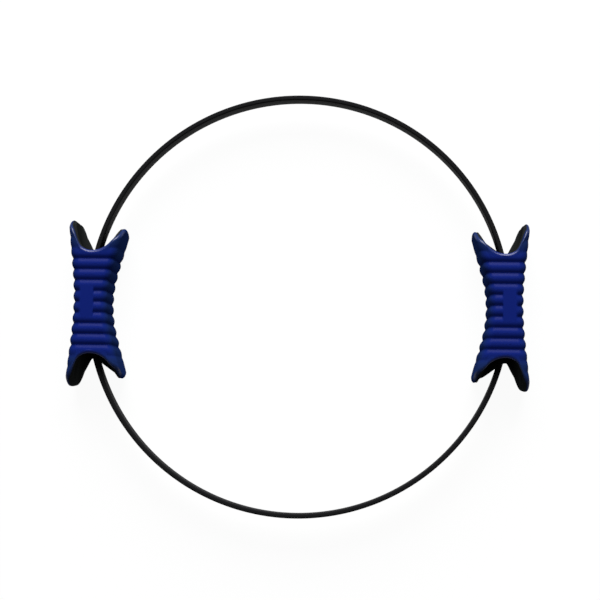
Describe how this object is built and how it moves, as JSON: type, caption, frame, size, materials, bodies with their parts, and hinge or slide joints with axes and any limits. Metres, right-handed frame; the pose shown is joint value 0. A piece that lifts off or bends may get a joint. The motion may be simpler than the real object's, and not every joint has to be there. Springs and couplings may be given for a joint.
{
  "type": "pilates ring",
  "caption": "Flat spring hoop in a black rubber sleeve with a ribbed blue grip on each side, squeezed between hands or legs for exercise.",
  "frame": {"origin": "on the surface that the ring lies on, below the centre of the hoop", "axes": "+Z is the axis of the hoop, up; +X runs from the left handle to the right one"},
  "size_m": [0.3912, 0.36, 0.047],
  "materials": {
    "grip_rubber": "moulded satin",
    "core_plastic": "satin",
    "sleeve_rubber": "satin",
    "spring_steel": "blued",
    "plated_steel": "zinc plated"
  },
  "bodies": {
    "left_handle": {"left_grip": "grip_rubber", "left_outer_shell": "core_plastic", "left_inner_shell": "core_plastic", "left_clamp_screws": "plated_steel", "left_clamp_nuts": "plated_steel", "left_strip_end_upper": "spring_steel", "left_strip_end_lower": "spring_steel", "left_splice_plate": "spring_steel", "upper_sleeve": "sleeve_rubber", "lower_sleeve": "sleeve_rubber"},
    "upper_link_1": {"upper_strip_1": "spring_steel"},
    "upper_link_2": {"upper_strip_2": "spring_steel"},
    "upper_link_3": {"upper_strip_3": "spring_steel"},
    "upper_link_4": {"upper_strip_4": "spring_steel"},
    "upper_link_5": {"upper_strip_5": "spring_steel"},
    "upper_link_6": {"upper_strip_6": "spring_steel"},
    "upper_link_7": {"upper_strip_7": "spring_steel"},
    "upper_link_8": {"upper_strip_8": "spring_steel"},
    "lower_link_1": {"lower_strip_1": "spring_steel"},
    "lower_link_2": {"lower_strip_2": "spring_steel"},
    "lower_link_3": {"lower_strip_3": "spring_steel"},
    "lower_link_4": {"lower_strip_4": "spring_steel"},
    "lower_link_5": {"lower_strip_5": "spring_steel"},
    "lower_link_6": {"lower_strip_6": "spring_steel"},
    "lower_link_7": {"lower_strip_7": "spring_steel"},
    "lower_link_8": {"lower_strip_8": "spring_steel"},
    "right_handle": {"right_grip": "grip_rubber", "right_outer_shell": "core_plastic", "right_inner_shell": "core_plastic", "right_clamp_screws": "plated_steel", "right_clamp_nuts": "plated_steel", "right_strip": "spring_steel"}
  },
  "joints": [
    {"name": "upper_flex_1", "type": "hinge", "parent": "left_handle", "child": "upper_link_1", "pos_m": [-0.17379, 0.0385, 0.0235], "axis": [0, 0, -1], "range_deg": [-10.93, 4.37], "stiffness_Nm_per_rad": 41.98},
    {"name": "upper_flex_2", "type": "hinge", "parent": "upper_link_1", "child": "upper_link_2", "pos_m": [-0.15117, 0.09398, 0.0235], "axis": [0, 0, -1], "range_deg": [-8.19, 3.28], "stiffness_Nm_per_rad": 20.99},
    {"name": "upper_flex_3", "type": "hinge", "parent": "upper_link_2", "child": "upper_link_3", "pos_m": [-0.11142, 0.13881, 0.0235], "axis": [0, 0, -1], "range_deg": [-1.14, 2.85], "stiffness_Nm_per_rad": 20.99},
    {"name": "upper_flex_4", "type": "hinge", "parent": "upper_link_3", "child": "upper_link_4", "pos_m": [-0.05906, 0.16792, 0.0235], "axis": [0, 0, -1], "range_deg": [-4.01, 10.02], "stiffness_Nm_per_rad": 20.99},
    {"name": "hoop_squeeze", "type": "hinge", "parent": "upper_link_4", "child": "upper_link_5", "pos_m": [0, 0.178, 0.0235], "axis": [0, 0, -1], "range_deg": [-5, 12.5], "stiffness_Nm_per_rad": 20.99, "deforming": ["upper_sleeve", "lower_sleeve"]},
    {"name": "upper_flex_6", "type": "hinge", "parent": "upper_link_5", "child": "upper_link_6", "pos_m": [0.05906, 0.16792, 0.0235], "axis": [0, 0, -1], "range_deg": [-4.01, 10.02], "stiffness_Nm_per_rad": 20.99},
    {"name": "upper_flex_7", "type": "hinge", "parent": "upper_link_6", "child": "upper_link_7", "pos_m": [0.11142, 0.13881, 0.0235], "axis": [0, 0, -1], "range_deg": [-1.14, 2.85], "stiffness_Nm_per_rad": 20.99},
    {"name": "upper_flex_8", "type": "hinge", "parent": "upper_link_7", "child": "upper_link_8", "pos_m": [0.15117, 0.09398, 0.0235], "axis": [0, 0, -1], "range_deg": [-8.19, 3.28], "stiffness_Nm_per_rad": 20.99},
    {"name": "upper_flex_9", "type": "hinge", "parent": "upper_link_8", "child": "right_handle", "pos_m": [0.17379, 0.0385, 0.0235], "axis": [0, 0, -1], "range_deg": [-10.93, 4.37], "stiffness_Nm_per_rad": 41.98},
    {"name": "lower_flex_1", "type": "hinge", "parent": "left_handle", "child": "lower_link_1", "pos_m": [-0.17379, -0.0385, 0.0235], "axis": [0, 0, 1], "range_deg": [-10.93, 4.37], "stiffness_Nm_per_rad": 41.98},
    {"name": "lower_flex_2", "type": "hinge", "parent": "lower_link_1", "child": "lower_link_2", "pos_m": [-0.15117, -0.09398, 0.0235], "axis": [0, 0, 1], "range_deg": [-8.19, 3.28], "stiffness_Nm_per_rad": 20.99},
    {"name": "lower_flex_3", "type": "hinge", "parent": "lower_link_2", "child": "lower_link_3", "pos_m": [-0.11142, -0.13881, 0.0235], "axis": [0, 0, 1], "range_deg": [-1.14, 2.85], "stiffness_Nm_per_rad": 20.99},
    {"name": "lower_flex_4", "type": "hinge", "parent": "lower_link_3", "child": "lower_link_4", "pos_m": [-0.05906, -0.16792, 0.0235], "axis": [0, 0, 1], "range_deg": [-4.01, 10.02], "stiffness_Nm_per_rad": 20.99},
    {"name": "lower_flex_5", "type": "hinge", "parent": "lower_link_4", "child": "lower_link_5", "pos_m": [0, -0.178, 0.0235], "axis": [0, 0, 1], "range_deg": [-5, 12.5], "stiffness_Nm_per_rad": 20.99},
    {"name": "lower_flex_6", "type": "hinge", "parent": "lower_link_5", "child": "lower_link_6", "pos_m": [0.05906, -0.16792, 0.0235], "axis": [0, 0, 1], "range_deg": [-4.01, 10.02], "stiffness_Nm_per_rad": 20.99},
    {"name": "lower_flex_7", "type": "hinge", "parent": "lower_link_6", "child": "lower_link_7", "pos_m": [0.11142, -0.13881, 0.0235], "axis": [0, 0, 1], "range_deg": [-1.14, 2.85], "stiffness_Nm_per_rad": 20.99},
    {"name": "lower_flex_8", "type": "hinge", "parent": "lower_link_7", "child": "lower_link_8", "pos_m": [0.15117, -0.09398, 0.0235], "axis": [0, 0, 1], "range_deg": [-8.19, 3.28], "stiffness_Nm_per_rad": 20.99}
  ],
  "couplings": [
    {"joint": "upper_flex_1", "follows": "hoop_squeeze", "ratio": -0.87409},
    {"joint": "upper_flex_2", "follows": "hoop_squeeze", "ratio": -0.65524},
    {"joint": "upper_flex_3", "follows": "hoop_squeeze", "ratio": 0.22797},
    {"joint": "upper_flex_4", "follows": "hoop_squeeze", "ratio": 0.80137},
    {"joint": "upper_flex_6", "follows": "hoop_squeeze", "ratio": 0.80137},
    {"joint": "upper_flex_7", "follows": "hoop_squeeze", "ratio": 0.22797},
    {"joint": "upper_flex_8", "follows": "hoop_squeeze", "ratio": -0.65524},
    {"joint": "upper_flex_9", "follows": "hoop_squeeze", "ratio": -0.87409},
    {"joint": "lower_flex_1", "follows": "hoop_squeeze", "ratio": -0.87409},
    {"joint": "lower_flex_2", "follows": "hoop_squeeze", "ratio": -0.65524},
    {"joint": "lower_flex_3", "follows": "hoop_squeeze", "ratio": 0.22797},
    {"joint": "lower_flex_4", "follows": "hoop_squeeze", "ratio": 0.80137},
    {"joint": "lower_flex_5", "follows": "hoop_squeeze", "ratio": 1},
    {"joint": "lower_flex_6", "follows": "hoop_squeeze", "ratio": 0.80137},
    {"joint": "lower_flex_7", "follows": "hoop_squeeze", "ratio": 0.22797},
    {"joint": "lower_flex_8", "follows": "hoop_squeeze", "ratio": -0.65524}
  ]
}
